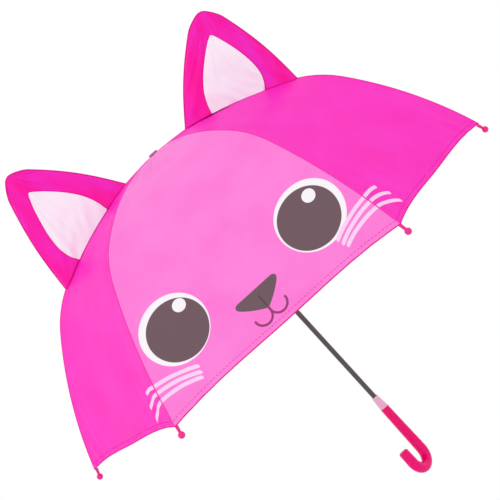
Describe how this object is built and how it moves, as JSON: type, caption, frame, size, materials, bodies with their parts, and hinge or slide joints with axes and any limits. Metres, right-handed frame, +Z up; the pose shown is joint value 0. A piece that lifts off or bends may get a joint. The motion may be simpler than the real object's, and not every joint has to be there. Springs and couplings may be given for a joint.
{
  "type": "children's umbrella",
  "caption": "Open dome umbrella for a child, with two cloth ears and a cat face; ribs, stretchers, sliding runner, spring catches and a hook grip.",
  "frame": {"origin": "on the shaft's axis at the middle of the grip's straight length", "axes": "+Z up the shaft to the cap; the front gore with the face looks along -Y; +X through the right-hand rib, the way the open canopy and its ears are widest"},
  "size_m": [0.7304, 0.6338, 0.6855],
  "materials": {
    "cloth_front": "soft sheen polyester, pale pink",
    "cloth_side": "soft sheen polyester, magenta",
    "ear_cloth": "soft sheen polyester, crimson magenta",
    "cloth_white": "soft sheen polyester, white",
    "strap_cloth": "woven tape",
    "tip_plastic": "glossy",
    "grip_plastic": "glossy",
    "collar_plastic": "satin",
    "runner_plastic": "satin",
    "cap_plastic": "satin",
    "steel": "drawn, plated"
  },
  "bodies": {
    "shaft": {"shaft_tube": "steel", "crown": "runner_plastic", "crown_wire": "steel", "crown_pin": "steel", "ferrule_cap": "cap_plastic", "top_rosette": "strap_cloth", "grip": "grip_plastic", "grip_collar": "collar_plastic"},
    "runner": {"runner": "runner_plastic"},
    "top_catch": {"top_catch": "steel"},
    "bottom_catch": {"bottom_catch": "steel"},
    "rib_right": {"rib_right": "steel", "rib_joint_right": "steel", "ball_tip_right": "tip_plastic", "ear_front_right": "ear_cloth", "ear_back_right": "ear_cloth", "ear_inlay_right": "cloth_white"},
    "stretcher_right": {"stretcher_right": "steel"},
    "gore_right_a": {"gore_right_a": "cloth_side"},
    "gore_right_b": {"gore_right_b": "cloth_side"},
    "rib_back_right": {"rib_back_right": "steel", "rib_joint_back_right": "steel", "ball_tip_back_right": "tip_plastic"},
    "stretcher_back_right": {"stretcher_back_right": "steel"},
    "gore_back_right_a": {"gore_back_right_a": "cloth_side"},
    "gore_back_right_b": {"gore_back_right_b": "cloth_side"},
    "rib_back_left": {"rib_back_left": "steel", "rib_joint_back_left": "steel", "ball_tip_back_left": "tip_plastic", "tie_strap": "strap_cloth", "strap_stud": "tip_plastic"},
    "stretcher_back_left": {"stretcher_back_left": "steel"},
    "gore_back_left_a": {"gore_back_left_a": "cloth_side"},
    "gore_back_left_b": {"gore_back_left_b": "cloth_side"},
    "rib_left": {"rib_left": "steel", "rib_joint_left": "steel", "ball_tip_left": "tip_plastic", "ear_front_left": "ear_cloth", "ear_back_left": "ear_cloth", "ear_inlay_left": "cloth_white"},
    "stretcher_left": {"stretcher_left": "steel"},
    "gore_left_a": {"gore_left_a": "cloth_side"},
    "gore_left_b": {"gore_left_b": "cloth_side"},
    "rib_front_left": {"rib_front_left": "steel", "rib_joint_front_left": "steel", "ball_tip_front_left": "tip_plastic"},
    "stretcher_front_left": {"stretcher_front_left": "steel"},
    "gore_front_left_a": {"gore_front_left_a": "cloth_front"},
    "gore_front_left_b": {"gore_front_left_b": "cloth_side"},
    "rib_front_right": {"rib_front_right": "steel", "rib_joint_front_right": "steel", "ball_tip_front_right": "tip_plastic"},
    "stretcher_front_right": {"stretcher_front_right": "steel"},
    "gore_front_right_a": {"gore_front_right_a": "cloth_side"},
    "gore_front_right_b": {"gore_front_right_b": "cloth_front"}
  },
  "joints": [
    {"name": "runner_slide", "type": "slide", "parent": "shaft", "child": "runner", "axis": [0, 0, 1], "range_m": [-0.2043, 0], "deforming": ["gore_right_a", "gore_right_b", "gore_back_right_a", "gore_back_right_b", "gore_back_left_a", "gore_back_left_b", "gore_left_a", "gore_left_b", "gore_front_left_a", "gore_front_left_b", "gore_front_right_a", "gore_front_right_b", "top_catch", "bottom_catch"]},
    {"name": "rib_hinge_right", "type": "hinge", "parent": "shaft", "child": "rib_right", "pos_m": [0.008, 0, 0.5087], "axis": [0, 1, 0], "range_deg": [-0.02, 50.56]},
    {"name": "stretcher_hinge_right", "type": "hinge", "parent": "rib_right", "child": "stretcher_right", "pos_m": [0.19295, 0, 0.46204], "axis": [0, 1, 0], "range_deg": [-84.11, 0.02]},
    {"name": "gore_fold_right_a", "type": "hinge", "parent": "rib_right", "child": "gore_right_a", "pos_m": [0.008, 0, 0.5087], "axis": [-0.4987, -0.8342, -0.2354], "range_deg": [-0.02, 28.06]},
    {"name": "gore_fold_right_b", "type": "hinge", "parent": "rib_right", "child": "gore_right_b", "pos_m": [0.008, 0, 0.5087], "axis": [0.4987, -0.8342, 0.2354], "range_deg": [-0.02, 28.06]},
    {"name": "rib_hinge_back_right", "type": "hinge", "parent": "shaft", "child": "rib_back_right", "pos_m": [0.004, 0.00693, 0.5087], "axis": [-0.866, 0.5, 0], "range_deg": [-0.02, 50.56]},
    {"name": "stretcher_hinge_back_right", "type": "hinge", "parent": "rib_back_right", "child": "stretcher_back_right", "pos_m": [0.09648, 0.1671, 0.46204], "axis": [-0.866, 0.5, 0], "range_deg": [-84.11, 0.02]},
    {"name": "gore_fold_back_right_a", "type": "hinge", "parent": "rib_back_right", "child": "gore_back_right_a", "pos_m": [0.004, 0.00693, 0.5087], "axis": [0.473, -0.849, -0.2354], "range_deg": [-0.02, 28.06]},
    {"name": "gore_fold_back_right_b", "type": "hinge", "parent": "rib_back_right", "child": "gore_back_right_b", "pos_m": [0.004, 0.00693, 0.5087], "axis": [0.9718, 0.0148, 0.2354], "range_deg": [-0.02, 28.06]},
    {"name": "rib_hinge_back_left", "type": "hinge", "parent": "shaft", "child": "rib_back_left", "pos_m": [-0.004, 0.00693, 0.5087], "axis": [-0.866, -0.5, 0], "range_deg": [-0.02, 50.56]},
    {"name": "stretcher_hinge_back_left", "type": "hinge", "parent": "rib_back_left", "child": "stretcher_back_left", "pos_m": [-0.09648, 0.1671, 0.46204], "axis": [-0.866, -0.5, 0], "range_deg": [-84.11, 0.02]},
    {"name": "gore_fold_back_left_a", "type": "hinge", "parent": "rib_back_left", "child": "gore_back_left_a", "pos_m": [-0.004, 0.00693, 0.5087], "axis": [0.9718, -0.0148, -0.2354], "range_deg": [-0.02, 28.06]},
    {"name": "gore_fold_back_left_b", "type": "hinge", "parent": "rib_back_left", "child": "gore_back_left_b", "pos_m": [-0.004, 0.00693, 0.5087], "axis": [0.473, 0.849, 0.2354], "range_deg": [-0.02, 28.06]},
    {"name": "rib_hinge_left", "type": "hinge", "parent": "shaft", "child": "rib_left", "pos_m": [-0.008, 0, 0.5087], "axis": [0, -1, 0], "range_deg": [-0.02, 50.56]},
    {"name": "stretcher_hinge_left", "type": "hinge", "parent": "rib_left", "child": "stretcher_left", "pos_m": [-0.19295, 0, 0.46204], "axis": [0, -1, 0], "range_deg": [-84.11, 0.02]},
    {"name": "gore_fold_left_a", "type": "hinge", "parent": "rib_left", "child": "gore_left_a", "pos_m": [-0.008, 0, 0.5087], "axis": [0.4987, 0.8342, -0.2354], "range_deg": [-0.02, 28.06]},
    {"name": "gore_fold_left_b", "type": "hinge", "parent": "rib_left", "child": "gore_left_b", "pos_m": [-0.008, 0, 0.5087], "axis": [-0.4987, 0.8342, 0.2354], "range_deg": [-0.02, 28.06]},
    {"name": "rib_hinge_front_left", "type": "hinge", "parent": "shaft", "child": "rib_front_left", "pos_m": [-0.004, -0.00693, 0.5087], "axis": [0.866, -0.5, 0], "range_deg": [-0.02, 50.56]},
    {"name": "stretcher_hinge_front_left", "type": "hinge", "parent": "rib_front_left", "child": "stretcher_front_left", "pos_m": [-0.09648, -0.1671, 0.46204], "axis": [0.866, -0.5, 0], "range_deg": [-84.11, 0.02]},
    {"name": "gore_fold_front_left_a", "type": "hinge", "parent": "rib_front_left", "child": "gore_front_left_a", "pos_m": [-0.004, -0.00693, 0.5087], "axis": [-0.473, 0.849, -0.2354], "range_deg": [-0.02, 28.06]},
    {"name": "gore_fold_front_left_b", "type": "hinge", "parent": "rib_front_left", "child": "gore_front_left_b", "pos_m": [-0.004, -0.00693, 0.5087], "axis": [-0.9718, -0.0148, 0.2354], "range_deg": [-0.02, 28.06]},
    {"name": "rib_hinge_front_right", "type": "hinge", "parent": "shaft", "child": "rib_front_right", "pos_m": [0.004, -0.00693, 0.5087], "axis": [0.866, 0.5, 0], "range_deg": [-0.02, 50.56]},
    {"name": "stretcher_hinge_front_right", "type": "hinge", "parent": "rib_front_right", "child": "stretcher_front_right", "pos_m": [0.09648, -0.1671, 0.46204], "axis": [0.866, 0.5, 0], "range_deg": [-84.11, 0.02]},
    {"name": "gore_fold_front_right_a", "type": "hinge", "parent": "rib_front_right", "child": "gore_front_right_a", "pos_m": [0.004, -0.00693, 0.5087], "axis": [-0.9718, 0.0148, -0.2354], "range_deg": [-0.02, 28.06]},
    {"name": "gore_fold_front_right_b", "type": "hinge", "parent": "rib_front_right", "child": "gore_front_right_b", "pos_m": [0.004, -0.00693, 0.5087], "axis": [-0.473, -0.849, 0.2354], "range_deg": [-0.02, 28.06]},
    {"name": "top_catch_press", "type": "hinge", "parent": "shaft", "child": "top_catch", "pos_m": [0, 0.0018, 0.27229], "axis": [1, 0, 0], "range_deg": [0, 6], "stiffness_Nm_per_rad": 0.15},
    {"name": "bottom_catch_press", "type": "hinge", "parent": "shaft", "child": "bottom_catch", "pos_m": [0, 0.0018, 0.15378], "axis": [-1, 0, 0], "range_deg": [0, 6], "stiffness_Nm_per_rad": 0.15}
  ],
  "couplings": [
    {"joint": "rib_hinge_right", "follows": "runner_slide", "rad_per_m": -4.3179},
    {"joint": "stretcher_hinge_right", "follows": "runner_slide", "rad_per_m": 7.1837},
    {"joint": "gore_fold_right_a", "follows": "runner_slide", "rad_per_m": -2.3956},
    {"joint": "gore_fold_right_b", "follows": "runner_slide", "rad_per_m": -2.3956},
    {"joint": "rib_hinge_back_right", "follows": "runner_slide", "rad_per_m": -4.3179},
    {"joint": "stretcher_hinge_back_right", "follows": "runner_slide", "rad_per_m": 7.1837},
    {"joint": "gore_fold_back_right_a", "follows": "runner_slide", "rad_per_m": -2.3956},
    {"joint": "gore_fold_back_right_b", "follows": "runner_slide", "rad_per_m": -2.3956},
    {"joint": "rib_hinge_back_left", "follows": "runner_slide", "rad_per_m": -4.3179},
    {"joint": "stretcher_hinge_back_left", "follows": "runner_slide", "rad_per_m": 7.1837},
    {"joint": "gore_fold_back_left_a", "follows": "runner_slide", "rad_per_m": -2.3956},
    {"joint": "gore_fold_back_left_b", "follows": "runner_slide", "rad_per_m": -2.3956},
    {"joint": "rib_hinge_left", "follows": "runner_slide", "rad_per_m": -4.3179},
    {"joint": "stretcher_hinge_left", "follows": "runner_slide", "rad_per_m": 7.1837},
    {"joint": "gore_fold_left_a", "follows": "runner_slide", "rad_per_m": -2.3956},
    {"joint": "gore_fold_left_b", "follows": "runner_slide", "rad_per_m": -2.3956},
    {"joint": "rib_hinge_front_left", "follows": "runner_slide", "rad_per_m": -4.3179},
    {"joint": "stretcher_hinge_front_left", "follows": "runner_slide", "rad_per_m": 7.1837},
    {"joint": "gore_fold_front_left_a", "follows": "runner_slide", "rad_per_m": -2.3956},
    {"joint": "gore_fold_front_left_b", "follows": "runner_slide", "rad_per_m": -2.3956},
    {"joint": "rib_hinge_front_right", "follows": "runner_slide", "rad_per_m": -4.3179},
    {"joint": "stretcher_hinge_front_right", "follows": "runner_slide", "rad_per_m": 7.1837},
    {"joint": "gore_fold_front_right_a", "follows": "runner_slide", "rad_per_m": -2.3956},
    {"joint": "gore_fold_front_right_b", "follows": "runner_slide", "rad_per_m": -2.3956}
  ]
}
